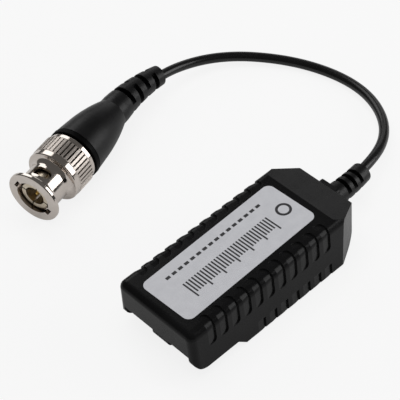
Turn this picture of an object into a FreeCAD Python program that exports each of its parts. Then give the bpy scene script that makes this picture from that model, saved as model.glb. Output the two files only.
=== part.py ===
import FreeCAD, Part
import math
import os
import Sketcher

# A one-channel video balun: a small moulded case that turns a camera's coaxial video into a twisted
# pair, with a short coaxial pigtail and a bayonet plug. Millimetres throughout. X runs along the case
# towards the cable, Z is up, and the origin is on the floor below the middle of the case.

doc = FreeCAD.newDocument("video_balun")
sheet = doc.addObject("Spreadsheet::Sheet", "Sizes")

DRIVING_SIZES = [
    # the case
    ("case_length", 58.7, "near face to cable face"),
    ("case_height", 16.0, "floor to label face"),
    ("case_half_width", 12.9, "at the label face"),
    ("side_lean", 0.045, "sideways growth for each millimetre down"),
    ("wall", 1.6, "moulded wall"),
    ("roof_round", 2.2, "long top edges"),
    ("face_round", 1.9, "edges of the near face"),
    ("step_height", 2.8, "raised underside at the wire end"),
    ("step_length", 13.9, "from the near face to the ramp"),
    ("ramp_length", 3.0, "ramp of the underside"),
    ("cheek_round", 4.4, "lower near corner of the side walls"),
    ("tail_round", 4.2, "lower corner at the cable face"),
    ("mouth_height", 7.7, "floor to the lower edge of the near wall"),
    ("nose_length", 9.55, "sloped part of the top, before the cable face"),
    ("nose_drop", 3.0, "fall of the top towards the cable face"),
    ("taper_length", 8.75, "part where the sides turn in, before the cable face"),
    ("tail_half_width", 8.7, "half width of the cable face"),
    ("tail_edge_round", 1.0, "edges of the cable face"),
    ("lower_edge_round", 0.6, "lower edges of the long sides"),
    # the grip notches
    ("notch_pitch", 3.85, "spacing along the case"),
    ("notch_first", -21.66, "steep wall of the first notch"),
    ("notch_ramp", 2.6, "length of the notch's ramp"),
    ("notch_depth", 0.42, "depth at the steep wall"),
    ("notch_low_end", 9.2, "height of the lower end on the side"),
    ("notch_reach", 3.5, "length on the label face"),
    ("notch_side_round", 1.1, "corner at the lower end"),
    ("notch_roof_round", 1.4, "corner at the inner end"),
    ("foot_notch_height", 4.1, "upper end of the foot notches"),
    # the base cover
    ("cover_gap", 0.15, "around the cover"),
    ("cover_thickness", 1.3, "plate of the cover"),
    ("cover_lift", 0.1, "cover above the floor that the walls stand on"),
    ("cover_front", 2.9, "front edge of the cover, behind the near face"),
    ("divider_front", 1.0, "front of the divider, behind the near face"),
    ("divider_half_width", 2.7, "divider between the two terminals"),
    ("divider_length", 2.35, "divider along the case"),
    ("divider_round", 2.2, "lower near corner of the divider"),
    ("boss_radius", 2.4, "screw boss in the shell"),
    ("boss_tail_gap", 10.05, "boss near the cable, before the cable face"),
    ("boss_arrester_gap", 4.9, "middle boss, behind the middle of the arrester"),
    ("boss_y", 8.0, "bosses either side of the middle"),
    ("cover_screw_radius", 1.1, "shank of the cover screw"),
    ("cover_screw_length", 7.0, "shank of the cover screw"),
    ("cover_screw_head", 2.0, "radius of the head"),
    ("cover_screw_head_height", 0.55, "height of the head"),
    ("cover_screw_recess", 0.1, "head below the cover's face"),
    # the label
    ("label_length", 44.1, "along the case"),
    ("label_width", 16.5, "across the case"),
    ("label_thickness", 0.12, "printed film"),
    ("label_corner", 1.9, "corner radius"),
    ("label_x", -4.2, "middle of the label"),
    ("label_turn", 1.6, "degrees off square, as it was stuck on"),
    # the board
    ("board_near_gap", 3.95, "near edge, behind the near face"),
    ("board_tail_gap", 12.95, "far edge, before the cable face"),
    ("board_half_width", 10.3, "across the case"),
    ("board_bottom", 11.6, "height of its under face"),
    ("board_thickness", 1.0, "laminate"),
    ("lead_radius", 0.3, "component leads"),
    ("lead_gap", 0.1, "around a lead in the board"),
    ("lead_stand", 0.5, "leads above the board"),
    ("post_radius", 1.4, "posts that hold the board"),
    ("post_inset", 2.0, "posts from the ends of the board"),
    ("post_side_inset", 1.6, "posts from the sides of the board"),
    # the terminals
    ("terminal_pitch", 7.6, "between the two poles"),
    ("block_near_gap", 3.45, "near face of the block, behind the near face"),
    ("block_length", 9.0, "along the case"),
    ("block_base", 4.3, "height of its lower face"),
    ("clamp_inset", 2.9, "wire clamp, behind the near face of the block"),
    ("clamp_length", 4.6, "wire clamp along the case"),
    ("clamp_width", 4.2, "wire clamp across the case"),
    ("clamp_height", 3.6, "wire clamp"),
    ("clamp_wall", 0.7, "sheet of the clamp"),
    ("clamp_gap", 0.1, "clamp in its pocket"),
    ("terminal_screw_z", 6.1, "height of the screw"),
    ("terminal_screw_head", 1.4, "radius of the head"),
    ("terminal_screw_radius", 0.95, "radius of the thread"),
    ("wire_hole_radius", 1.3, "holes for the pair, from below"),
    # the isolating transformer
    ("core_outer", 5.0, "ring core, outer radius"),
    ("core_inner", 2.5, "ring core, inner radius"),
    ("core_height", 3.8, "ring core"),
    ("core_bottom", 7.1, "height of its lower face"),
    ("core_x", -0.5, "middle of the ring"),
    ("winding_wire", 0.22, "radius of the enamelled wire"),
    # the parts against surges
    ("arrester_radius", 2.6, "gas arrester"),
    ("arrester_length", 5.0, "gas arrester"),
    ("arrester_gap", 1.8, "behind the terminal block"),
    ("fuse_radius", 3.0, "fuse disc"),
    ("fuse_thickness", 1.7, "fuse disc"),
    ("fuse_y", 6.6, "either side of the middle"),
    ("filter_x", 9.6, "capacitor and resistor, behind the middle of the ring"),
    ("capacitor_radius", 2.4, "capacitor disc"),
    ("capacitor_thickness", 1.8, "capacitor disc"),
    ("resistor_radius", 1.1, "resistor"),
    ("resistor_length", 5.0, "resistor"),
    ("tail_radius", 0.45, "stripped core and braid of the cable"),
    # the gland
    ("gland_y", -0.3, "cable off the middle where it leaves"),
    ("gland_z", 7.3, "height of the cable where it leaves"),
    ("gland_neck", 2.6, "radius in the end wall"),
    ("gland_gap", 0.05, "around the neck"),
    ("gland_flange_width", 6.6, "outer flange"),
    ("gland_flange_height", 9.8, "outer flange"),
    ("gland_flange_thickness", 1.1, "outer flange"),
    ("gland_root_radius", 3.2, "relief at the flange"),
    ("gland_tip_radius", 2.8, "relief at the tip"),
    ("gland_length", 12.3, "from the outer flange to the tip"),
    ("gland_slot_width", 1.25, "slots of the relief"),
    ("gland_slot_pitch", 2.3, "between the slots"),
    ("gland_slot_first", 4.2, "from the outer flange to the first slot"),
    # the cable
    ("cable_radius", 1.4, "thin coaxial cable"),
    ("cable_gap", 0.05, "around the cable in its reliefs"),
    # the bayonet plug, measured back from its front face
    ("plug_x", -21.93, "front face of the nut"),
    ("plug_y", 55.86, "front face of the nut"),
    ("plug_heading", 14.06, "degrees from the case's long axis"),
    ("nut_radius", 7.9, "knurl, on which the plug lies"),
    ("nut_flange_radius", 7.7, "front flange"),
    ("nut_rim_radius", 7.45, "rear rim"),
    ("nut_length", 17.6, "coupling nut"),
    ("nut_neck_radius", 5.75, "waist behind the flange"),
    ("nut_bore", 4.93, "socket barrel of the mate"),
    ("nut_flange_length", 0.95, "front flange"),
    ("nut_neck_start", 2.85, "front of the waist"),
    ("nut_neck_end", 6.9, "rear of the waist"),
    ("nut_shoulder", 9.0, "front of the smooth ring before the knurl"),
    ("nut_knurl_start", 10.5, "front of the knurl"),
    ("nut_knurl_length", 5.35, "straight knurl"),
    ("nut_knurl_depth", 0.42, "straight knurl"),
    ("nut_edge", 0.4, "rounded edges"),
    ("nut_knurl_count", 42, "ridges"),
    ("nut_seat", 11.1, "shoulder that rests on the barrel's flange"),
    ("nut_cavity", 6.25, "radius behind the shoulder"),
    ("bayonet_slot", 2.3, "width of the lug slots"),
    ("bayonet_depth", 5.45, "radius that the lug slots reach"),
    ("bayonet_mouth_depth", 5.85, "radius of the slots' widened mouths"),
    ("bayonet_entry_angle", 34.0, "degrees of the first entry slot"),
    ("bayonet_turn", 61.0, "degrees of the ramp"),
    ("bayonet_entry_length", 2.8, "straight part of the slot"),
    ("bayonet_rise", 2.6, "axial rise of the ramp"),
    ("window_length", 2.8, "window at the ramp's end, along the axis"),
    ("window_width", 5.4, "window at the ramp's end, across"),
    ("running_gap", 0.05, "between the nut and the barrel"),
    ("sleeve_front", 0.9, "front edge of the contact sleeve"),
    ("sleeve_radius", 4.25, "contact sleeve"),
    ("sleeve_bore", 2.85, "contact sleeve"),
    ("sleeve_slit", 0.4, "slits of the contact sleeve"),
    ("sleeve_slit_length", 5.0, "slits of the contact sleeve"),
    ("barrel_seat", 9.7, "shoulder behind the contact sleeve"),
    ("barrel_flange_length", 1.2, "flange inside the nut"),
    ("barrel_spigot", 4.4, "radius behind the flange"),
    ("barrel_end", 20.5, "rear of the spigot"),
    ("crimp_neck", 2.05, "radius below the ferrule"),
    ("crimp_neck_end", 25.0, "rear of the crimp neck"),
    ("insulator_front", 5.9, "front face of the insulator"),
    ("insulator_radius", 2.6, "white dielectric"),
    ("insulator_end", 19.5, "rear face of the insulator"),
    ("pin_radius", 0.68, "centre contact"),
    ("pin_tip", 0.25, "radius of the tip"),
    ("pin_front", 1.7, "tip of the centre contact"),
    ("pin_end", 17.0, "rear of the centre contact"),
    ("spring_height", 1.0, "bowed washer at rest"),
    ("spring_sheet", 0.22, "bowed washer"),
    ("spring_bow", 24.0, "radius of the bow"),
    ("washer_thickness", 0.4, "thrust washer"),
    ("ring_thickness", 0.6, "retaining ring"),
    ("ring_opening", 2.4, "gap in the retaining ring"),
    ("ring_groove", 6.65, "radius of the ring's groove"),
    ("gasket_length", 0.7, "sealing ring"),
    ("ferrule_wall", 0.45, "crimp ferrule"),
    ("ferrule_end", 28.5, "rear of the ferrule"),
    ("boot_front", 17.9, "front of the boot"),
    ("boot_band_radius", 7.7, "lip behind the nut"),
    ("boot_band_end", 19.3, "rear of the lip"),
    ("boot_groove", 0.25, "depth and width of the groove behind the lip"),
    ("boot_radius", 7.6, "front of the grip"),
    ("boot_shoulder_end", 24.6, "where the grip ends and the cone starts"),
    ("boot_shoulder_radius", 7.1, "rear of the grip"),
    ("boot_cone_bulge", 0.37, "how far the cone is rounded outwards"),
    ("boot_cone_end", 36.0, "where the cone ends"),
    ("boot_waist_radius", 4.45, "behind the cone"),
    ("boot_relief_start", 38.1, "where the boot starts to flex"),
    ("boot_tip_radius", 2.9, "at the cable"),
    ("boot_relief_length", 17.9, "flexing part"),
    ("boot_slot_width", 1.6, "slots of the relief"),
    ("boot_slot_pitch", 3.7, "between the slots"),
    ("boot_slot_first", 3.4, "from the start of the relief to the first slot"),
]


class Size:
    """A length known both as a number and as an expression over the spreadsheet."""

    def __init__(self, value, text):
        self.value = float(value)
        self.text = text

    def _join(self, other, sign, swap=False):
        other = other if isinstance(other, Size) else Size(other, repr(float(other)))
        first, second = (other, self) if swap else (self, other)
        left, right = first.value, second.value
        values = {"+": left + right, "-": left - right, "*": left * right}
        value = left / right if sign == "/" else values[sign]
        return Size(value, f"({first.text} {sign} {second.text})")

    def __add__(self, other):
        return self._join(other, "+")

    def __radd__(self, other):
        return self._join(other, "+", swap=True)

    def __sub__(self, other):
        return self._join(other, "-")

    def __rsub__(self, other):
        return self._join(other, "-", swap=True)

    def __mul__(self, other):
        return self._join(other, "*")

    def __rmul__(self, other):
        return self._join(other, "*", swap=True)

    def __truediv__(self, other):
        return self._join(other, "/")

    def __neg__(self):
        return Size(-self.value, f"(-1 * {self.text})")

    def __float__(self):
        return self.value


for row, (alias, amount, note) in enumerate(DRIVING_SIZES, start=1):
    sheet.set(f"A{row}", alias)
    sheet.set(f"B{row}", str(amount))
    sheet.setAlias(f"B{row}", alias)
    sheet.set(f"C{row}", note)
doc.recompute()


class Sizes:
    """The spreadsheet's cells, read back as sizes that can be added and multiplied."""

    def __getattr__(self, alias):
        return Size(sheet.get(alias), "Sizes." + alias)


s = Sizes()
Vector = FreeCAD.Vector


def as_size(amount):
    return amount if isinstance(amount, Size) else Size(amount, repr(float(amount)))


def bind(thing, prop, amount):
    """Sets a property from a size and ties it to the spreadsheet."""
    amount = as_size(amount)
    if "Sizes." in amount.text:
        thing.setExpression(prop, amount.text)


def origin_feature(body, role):
    return [item for item in body.Origin.OriginFeatures if item.Role == role][0]


def new_body(name):
    body = doc.addObject("PartDesign::Body", name)
    body.Label = name
    return body


def blank_sketch(body, name, plane, offset=None):
    """A sketch on one of the body's own origin planes, moved along its normal by offset."""
    sketch = body.newObject("Sketcher::SketchObject", name)
    sketch.AttachmentSupport = [(origin_feature(body, plane), "")]
    sketch.MapMode = "FlatFace"
    if offset is not None:
        sketch.AttachmentOffset = FreeCAD.Placement(Vector(0, 0, float(offset)), FreeCAD.Rotation())
        bind(sketch, "AttachmentOffset.Base.z", offset)
    return sketch


def hold_point(sketch, element, end, along, up):
    """Fixes one end of an element at a place taken from the spreadsheet."""
    for kind, amount in (("DistanceX", as_size(along)), ("DistanceY", as_size(up))):
        number = sketch.addConstraint(Sketcher.Constraint(kind, -1, 1, element, end, amount.value))
        bind(sketch, f"Constraints[{number}]", amount)


def draw_outline(sketch, corners, arcs=None):
    """Draws a closed outline through corners. arcs maps a side's number to (radius, centre)."""
    arcs = arcs or {}
    first = sketch.GeometryCount
    ends = []
    for index, (along, up) in enumerate(corners):
        next_along, next_up = corners[(index + 1) % len(corners)]
        start = Vector(float(along), float(up), 0)
        finish = Vector(float(next_along), float(next_up), 0)
        if index in arcs:
            radius, centre = arcs[index]
            middle = Vector(float(centre[0]), float(centre[1]), 0)
            turn = (start - middle).cross(finish - middle).z
            lead, trail = (start, finish) if turn > 0 else (finish, start)
            angles = [math.atan2(point.y - middle.y, point.x - middle.x) for point in (lead, trail)]
            circle = Part.Circle(middle, Vector(0, 0, 1), float(radius))
            sketch.addGeometry(Part.ArcOfCircle(circle, angles[0], angles[1]), False)
            ends.append((1, 2) if turn > 0 else (2, 1))
        else:
            sketch.addGeometry(Part.LineSegment(start, finish), False)
            ends.append((1, 2))
    count = len(corners)
    for index in range(count):
        following = (index + 1) % count
        sketch.addConstraint(Sketcher.Constraint("Coincident", first + index, ends[index][1],
                                                 first + following, ends[following][0]))
    for index, (along, up) in enumerate(corners):
        hold_point(sketch, first + index, ends[index][0], along, up)
    for index, (radius, centre) in arcs.items():
        number = sketch.addConstraint(Sketcher.Constraint("Radius", first + index, float(radius)))
        bind(sketch, f"Constraints[{number}]", radius)


def draw_circle(sketch, along, up, radius):
    ring = Part.Circle(Vector(float(along), float(up), 0), Vector(0, 0, 1), float(radius))
    number = sketch.addGeometry(ring, False)
    hold_point(sketch, number, 3, along, up)
    fixed = sketch.addConstraint(Sketcher.Constraint("Radius", number, float(radius)))
    bind(sketch, f"Constraints[{fixed}]", radius)


def feature(body, kind, name, sketch, length=None, both_ways=False, reverse=False):
    """A pad or pocket of a sketch."""
    made = body.newObject(kind, name)
    made.Profile = sketch
    if length is not None:
        made.Length = float(length)
        bind(made, "Length", length)
    made.Midplane = both_ways
    made.Reversed = reverse
    sketch.Visibility = False
    doc.recompute()
    return made


def pad(body, name, sketch, length, both_ways=False, reverse=False):
    return feature(body, "PartDesign::Pad", name, sketch, length, both_ways, reverse)


def pocket(body, name, sketch, length, both_ways=False, reverse=False):
    before = body.Shape.Volume
    made = feature(body, "PartDesign::Pocket", name, sketch, length, both_ways, reverse)
    if made.Shape.Volume > before - 1e-6:
        raise ValueError(f"{body.Label}: {name} cuts nothing")
    return made


def revolve(body, name, corners, arcs=None):
    """Turns an outline, drawn as length and radius, about the body's X axis."""
    sketch = blank_sketch(body, name + "_outline", "XY_Plane")
    draw_outline(sketch, corners, arcs)
    turned = body.newObject("PartDesign::Revolution", name)
    turned.Profile = sketch
    turned.ReferenceAxis = (sketch, ["H_Axis"])
    turned.Angle = 360.0
    sketch.Visibility = False
    doc.recompute()
    return turned


def round_edges(body, name, base, wanted, radius):
    """A fillet on the edges that the test picks out."""
    names = [f"Edge{number + 1}" for number, edge in enumerate(base.Shape.Edges) if wanted(edge)]
    if not names:
        raise ValueError(f"{body.Label}: {name} finds no edge")
    made = body.newObject("PartDesign::Fillet", name)
    made.Base = (base, names)
    made.Radius = float(radius)
    bind(made, "Radius", radius)
    doc.recompute()
    return made


def put(thing, x=0.0, y=0.0, z=0.0, axis=None, degrees=0.0):
    """Places an object and ties its place to the spreadsheet."""
    rotation = FreeCAD.Rotation(Vector(*axis), float(degrees)) if axis else FreeCAD.Rotation()
    thing.Placement = FreeCAD.Placement(Vector(float(x), float(y), float(z)), rotation)
    for letter, amount in (("x", x), ("y", y), ("z", z)):
        bind(thing, f"Placement.Base.{letter}", amount)
    return thing


def box(name, low, high):
    """A plain block between two corners."""
    made = doc.addObject("Part::Box", name)
    for prop, number in (("Length", 0), ("Width", 1), ("Height", 2)):
        span = as_size(high[number]) - as_size(low[number])
        setattr(made, prop, float(span))
        bind(made, prop, span)
    return put(made, *low)


def cylinder(name, radius, length, at, along="z"):
    """A plain round bar that starts at a point and runs along one axis."""
    made = doc.addObject("Part::Cylinder", name)
    made.Radius = float(radius)
    made.Height = float(length)
    bind(made, "Radius", radius)
    bind(made, "Height", length)
    turns = {"z": (None, 0.0), "x": ((0, 1, 0), 90.0), "y": ((1, 0, 0), -90.0)}
    axis, degrees = turns[along]
    return put(made, *at, axis=axis, degrees=degrees)


def cut(name, base, tool):
    made = doc.addObject("Part::Cut", name)
    made.Base = base
    made.Tool = tool
    made.Label = name
    doc.recompute()
    return made


def fuse(name, pieces):
    made = doc.addObject("Part::MultiFuse", name)
    made.Shapes = pieces
    made.Label = name
    doc.recompute()
    return made


def common(name, pieces):
    made = doc.addObject("Part::MultiCommon", name)
    made.Shapes = pieces
    made.Label = name
    doc.recompute()
    return made


def free_shape(name, shape):
    """An object whose shape is made with Part's own functions from the sheet's values."""
    made = doc.addObject("Part::Feature", name)
    made.Shape = shape
    made.Label = name
    return made


def gather(name, pieces):
    """Separate solids kept together as one named piece."""
    made = doc.addObject("Part::Compound", name)
    made.Links = pieces
    made.Label = name
    doc.recompute()
    return made


finished = []


def finish(thing, name):
    thing.Label = name
    finished.append((name, thing))
    return thing


# Levels that several pieces share
near_x = -s.case_length / 2
far_x = s.case_length / 2
inner_near_x = near_x + s.wall
inner_far_x = far_x - s.wall
step_x = near_x + s.step_length
deep_x = step_x + s.ramp_length
ceiling = s.case_height - s.wall
inner_half_width = s.case_half_width - s.wall
nose_ceiling = s.case_height - s.nose_drop - s.wall - 0.3
cover_top = s.cover_thickness + s.cover_lift
raised_cover_bottom = s.step_height
raised_cover_top = raised_cover_bottom + s.cover_thickness
board_top = s.board_bottom + s.board_thickness
board_start = near_x + s.board_near_gap
board_end = far_x - s.board_tail_gap
block_near_x = near_x + s.block_near_gap
arrester_x = block_near_x + s.block_length + s.arrester_gap + s.arrester_radius
boss_far_x = far_x - s.boss_tail_gap
nose_start = far_x - s.nose_length
taper_start = far_x - s.taper_length
boss_near_x = arrester_x + s.boss_arrester_gap
notch_count = 11
foot_notch_count = 7


def root(size):
    """Square root of a size."""
    return Size(math.sqrt(size.value), f"sqrt({size.text})")


def half_width_at(height):
    """Half width of the case's outside at a height."""
    return s.case_half_width + (s.case_height - height) * s.side_lean


# The cable's path, chosen by hand: case, gland, floor, boot and crimp
heading = math.radians(float(s.plug_heading))
plug_axis = Vector(math.cos(heading), math.sin(heading), 0)
plug_front = Vector(float(s.plug_x), float(s.plug_y), float(s.nut_radius))


def on_plug(distance):
    """A point on the plug's axis, measured back from its front face."""
    return plug_front + plug_axis * float(distance)


cable_points = [
    Vector(23.4, float(s.gland_y), float(s.gland_z)),
    Vector(43.4, float(s.gland_y), float(s.gland_z)),
    Vector(62.0, 7.5, 3.8),
    Vector(71.0, 26.5, 1.4),
    Vector(67.3, 48.5, 1.4),
    Vector(51.0, 66.9, 3.2),
    on_plug(50.0),
    on_plug(s.crimp_neck_end),
]


def cable_wire(points):
    """Straight runs joined by tangent arcs, and the arcs' radii."""
    edges = []
    radii = []
    last = points[0]
    for before, corner, after in zip(points, points[1:], points[2:]):
        back = before - corner
        ahead = after - corner
        reach = 0.45 * min(back.Length, ahead.Length)
        back.normalize()
        ahead.normalize()
        turn = math.pi - back.getAngle(ahead)
        radius = reach / math.tan(turn / 2)
        start = corner + back * reach
        stop = corner + ahead * reach
        inward = (back + ahead).normalize()
        middle = corner + inward * (radius / math.cos(turn / 2) - radius)
        edges.append(Part.LineSegment(last, start).toShape())
        edges.append(Part.Arc(start, middle, stop).toShape())
        radii.append(radius)
        last = stop
    edges.append(Part.LineSegment(last, points[-1]).toShape())
    return Part.Wire(edges), radii


def swept_tube(path, radius):
    """A round bar along a path."""
    edge = path.OrderedEdges[0]
    start = edge.valueAt(edge.FirstParameter)
    along = edge.tangentAt(edge.FirstParameter)
    ring = Part.Wire([Part.Circle(start, along, float(radius)).toShape()])
    return path.makePipeShell([ring], True, False)


cable_path, cable_radii = cable_wire(cable_points)


def place_on_path(distance, from_plug=False):
    """Point and direction at a distance along the cable's path."""
    edges = cable_path.OrderedEdges
    if from_plug:
        edges = list(reversed(edges))
    for edge in edges:
        if distance <= edge.Length:
            low, high = edge.FirstParameter, edge.LastParameter
            starts_low = edge.Orientation == "Forward"
            if from_plug:
                starts_low = not starts_low
            share = distance / edge.Length
            where = low + (high - low) * share if starts_low else high - (high - low) * share
            tangent = edge.tangentAt(where)
            if not starts_low:
                tangent = -tangent
            return edge.valueAt(where), tangent
        distance -= edge.Length
    raise ValueError("the cable is too short")


def relief_ring(distance, radius, from_plug):
    point, along = place_on_path(distance, from_plug)
    return Part.Wire([Part.Circle(point, along, float(radius)).toShape()])


def bent_relief(start, length, root_radius, tip_radius, from_plug):
    """The tapered sleeve of a strain relief, which follows the cable's own bend."""
    rings = []
    for share in (0.0, 0.25, 0.5, 0.75, 1.0):
        radius = root_radius + (tip_radius - root_radius) * share
        rings.append(relief_ring(start + length * share, radius, from_plug))
    return Part.makeLoft(rings, True, False)


def relief_slot(distance, width, across, spine, lift, from_plug):
    """One side's slot of a strain relief: a slab that leaves the cable's wall and the spines."""
    point, along = place_on_path(distance, from_plug)
    side = Vector(0, 0, 1).cross(along).normalize()
    upright = along.cross(side)
    slab = Part.makeBox(width, across * 2, across)
    slab.translate(Vector(-width / 2, -across, lift))
    turn = FreeCAD.Matrix(along.x, side.x, upright.x, 0, along.y, side.y, upright.y, 0,
                          along.z, side.z, upright.z, 0, 0, 0, 0, 1)
    spun = slab.copy()
    spun.rotate(Vector(0, 0, 0), Vector(1, 0, 0), spine)
    spun = spun.transformGeometry(turn)
    spun.translate(point)
    return spun


# The top shell of the case
def make_shell_blank():
    """The moulded outside, the cavity, the mouth for the wires and the bosses."""
    body = new_body("shell_blank")
    section = blank_sketch(body, "shell_section", "YZ_Plane")
    shoulder = s.case_height - s.roof_round
    wide = half_width_at(shoulder)
    roof = wide - s.roof_round
    low = s.lower_edge_round
    base_wide = half_width_at(low)
    base = base_wide - low
    corners = [(-base, 0), (base, 0), (base_wide, low), (wide, shoulder), (roof, s.case_height),
               (-roof, s.case_height), (-wide, shoulder), (-base_wide, low)]
    arcs = {1: (low, (base, low)), 3: (s.roof_round, (roof, shoulder)),
            5: (s.roof_round, (-roof, shoulder)), 7: (low, (-base, low))}
    draw_outline(section, corners, arcs)
    blank = pad(body, "shell_length", section, s.case_length, both_ways=True)

    near = float(near_x)
    round_edges(body, "near_face_round", blank,
                lambda edge: max(abs(v.X - near) for v in edge.Vertexes) < 1e-4
                and max(v.Z for v in edge.Vertexes) > 1.0, s.face_round)

    below = blank_sketch(body, "underside_step", "XZ_Plane")
    draw_outline(below, [(near_x - 2, -1), (deep_x, -1), (deep_x, 0), (step_x, s.step_height),
                         (near_x + s.cheek_round, s.step_height), (near_x, s.step_height + s.cheek_round),
                         (near_x - 2, s.step_height + s.cheek_round)],
                 {4: (s.cheek_round, (near_x + s.cheek_round, s.step_height + s.cheek_round))})
    pocket(body, "underside_step_cut", below, 4 * s.case_half_width, both_ways=True)

    nose = blank_sketch(body, "nose_slope", "XZ_Plane")
    draw_outline(nose, [(nose_start, s.case_height), (far_x, s.case_height - s.nose_drop),
                        (far_x + 2, s.case_height - s.nose_drop), (far_x + 2, s.case_height + 2),
                        (nose_start, s.case_height + 2)])
    pocket(body, "nose_slope_cut", nose, 4 * s.case_half_width, both_ways=True)

    plan = blank_sketch(body, "tail_tapers", "XY_Plane")
    for side in (-1, 1):
        wide = side * (half_width_at(0) + 2)
        draw_outline(plan, [(taper_start, side * half_width_at(0)), (far_x, side * s.tail_half_width),
                            (far_x + 2, side * s.tail_half_width), (far_x + 2, wide),
                            (taper_start, wide)])
    pocket(body, "tail_tapers_cut", plan, s.case_height + 2, reverse=True)

    far = float(far_x)
    tapered = body.Tip
    round_edges(body, "tail_face_round", tapered,
                lambda edge: max(abs(v.X - far) for v in edge.Vertexes) < 1e-4
                and max(v.Z for v in edge.Vertexes) > float(s.tail_round) + 0.5, s.tail_edge_round)

    tail = blank_sketch(body, "tail_corner", "XZ_Plane")
    draw_outline(tail, [(far_x - s.tail_round, 0), (far_x - s.tail_round, -1), (far_x + 2, -1),
                        (far_x + 2, s.tail_round), (far_x, s.tail_round)],
                 {4: (s.tail_round, (far_x - s.tail_round, s.tail_round))})
    pocket(body, "tail_corner_cut", tail, 4 * s.case_half_width, both_ways=True)

    main = blank_sketch(body, "cavity_plan", "XY_Plane")
    nose_inner = nose_start - 1
    draw_outline(main, [(inner_near_x, -inner_half_width), (nose_inner, -inner_half_width),
                        (nose_inner, inner_half_width), (inner_near_x, inner_half_width)])
    pocket(body, "cavity_cut", main, ceiling, reverse=True)

    tail_inner = s.tail_half_width - s.wall
    nose_plan = blank_sketch(body, "nose_cavity_plan", "XY_Plane")
    draw_outline(nose_plan, [(nose_inner - 1, -inner_half_width), (taper_start - 0.6, -inner_half_width),
                             (inner_far_x, -tail_inner), (inner_far_x, tail_inner),
                             (taper_start - 0.6, inner_half_width), (nose_inner - 1, inner_half_width)])
    pocket(body, "nose_cavity_cut", nose_plan, nose_ceiling, reverse=True)

    mouth = blank_sketch(body, "mouth_side", "XZ_Plane")
    draw_outline(mouth, [(near_x - 1, -1), (inner_near_x + 0.5, -1), (inner_near_x + 0.5, s.mouth_height),
                         (near_x - 1, s.mouth_height)])
    pocket(body, "mouth_cut", mouth, 2 * inner_half_width, both_ways=True)

    hole = blank_sketch(body, "gland_hole", "YZ_Plane", far_x + 1)
    draw_circle(hole, s.gland_y, s.gland_z, s.gland_neck + s.gland_gap)
    pocket(body, "gland_hole_cut", hole, s.wall + 3)

    bosses = blank_sketch(body, "boss_plan", "XY_Plane", cover_top + s.cover_gap)
    draw_circle(bosses, boss_far_x, s.boss_y, s.boss_radius)
    draw_circle(bosses, boss_near_x, -s.boss_y, s.boss_radius)
    pad(body, "bosses", bosses, ceiling - cover_top + 0.5)

    posts = blank_sketch(body, "board_post_plan", "XY_Plane", board_top)
    for along in (board_start + s.post_inset, board_end - s.post_inset):
        for side in (-1, 1):
            draw_circle(posts, along, side * (s.board_half_width - s.post_side_inset), s.post_radius)
    pad(body, "board_posts", posts, ceiling - board_top + 0.5)

    pilots = blank_sketch(body, "pilot_plan", "XY_Plane", cover_top)
    draw_circle(pilots, boss_far_x, s.boss_y, s.cover_screw_radius)
    draw_circle(pilots, boss_near_x, -s.boss_y, s.cover_screw_radius)
    pocket(body, "pilot_holes", pilots, s.cover_screw_length, reverse=True)
    return body


def roof_strip(x, depth):
    """Outline of the material above a notch's floor, in the plane across the case at x."""
    lean = float(s.side_lean)
    top = float(s.case_height)
    bend = float(s.roof_round)
    shoulder = top - bend
    wide = float(half_width_at(shoulder))
    low = float(s.notch_low_end)
    low_half = float(half_width_at(low))
    inner = float(s.case_half_width) - float(s.notch_reach)
    centre_y = wide - bend
    radius = bend - depth
    slope = radius / math.sqrt(2)
    floor_low = Vector(x, low_half - depth, low)
    floor_shoulder = Vector(x, wide - depth, shoulder)
    floor_bend = Vector(x, centre_y + slope, shoulder + slope)
    floor_roof = Vector(x, centre_y, top - depth)
    floor_inner = Vector(x, inner, top - depth)
    clear = 1.5
    outer = [Vector(x, inner, top + clear), Vector(x, wide + clear, top + clear),
             Vector(x, low_half + clear + lean, low)]
    edges = [
        Part.LineSegment(floor_low, floor_shoulder).toShape(),
        Part.Arc(floor_shoulder, floor_bend, floor_roof).toShape(),
        Part.LineSegment(floor_roof, floor_inner).toShape(),
        Part.LineSegment(floor_inner, outer[0]).toShape(),
        Part.LineSegment(outer[0], outer[1]).toShape(),
        Part.LineSegment(outer[1], outer[2]).toShape(),
        Part.LineSegment(outer[2], floor_low).toShape(),
    ]
    return Part.Wire(edges)


def grip_notch():
    """One saw-tooth notch that wraps from the side over the rounded edge on to the label face.

    Its floor is a ramp that is deepest at the steep wall, and its two ends turn in with a round corner.
    """
    ramp = float(s.notch_ramp)
    start = roof_strip(-ramp, -0.02)
    end = roof_strip(0.0, float(s.notch_depth))
    tool = Part.makeLoft([start, end], True, True)
    low = float(s.notch_low_end)
    inner = float(s.case_half_width) - float(s.notch_reach)

    def at_wall(edge):
        return all(abs(v.X) < 1e-4 for v in edge.Vertexes)

    def at_low_end(edge):
        return at_wall(edge) and all(abs(v.Z - low) < 1e-4 for v in edge.Vertexes)

    def at_inner_end(edge):
        return at_wall(edge) and all(abs(v.Y - inner) < 1e-4 for v in edge.Vertexes)

    tool = tool.makeFillet(float(s.notch_side_round), [edge for edge in tool.Edges if at_low_end(edge)])
    return tool.makeFillet(float(s.notch_roof_round), [edge for edge in tool.Edges if at_inner_end(edge)])


def foot_notch():
    """One short saw-tooth notch at the lower edge of a side."""
    top = float(s.foot_notch_height)
    depth = float(s.notch_depth)
    ramp = float(s.notch_ramp)
    sections = []
    for x, cut_depth in ((-ramp, -0.02), (0.0, depth)):
        low_half = float(half_width_at(0)) - cut_depth
        high_half = float(half_width_at(top)) - cut_depth
        points = [Vector(x, low_half, -1), Vector(x, low_half, 0), Vector(x, high_half, top),
                  Vector(x, high_half + 2, top), Vector(x, high_half + 2, -1), Vector(x, low_half, -1)]
        sections.append(Part.makePolygon(points))
    return Part.makeLoft(sections, True, True)


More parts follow.
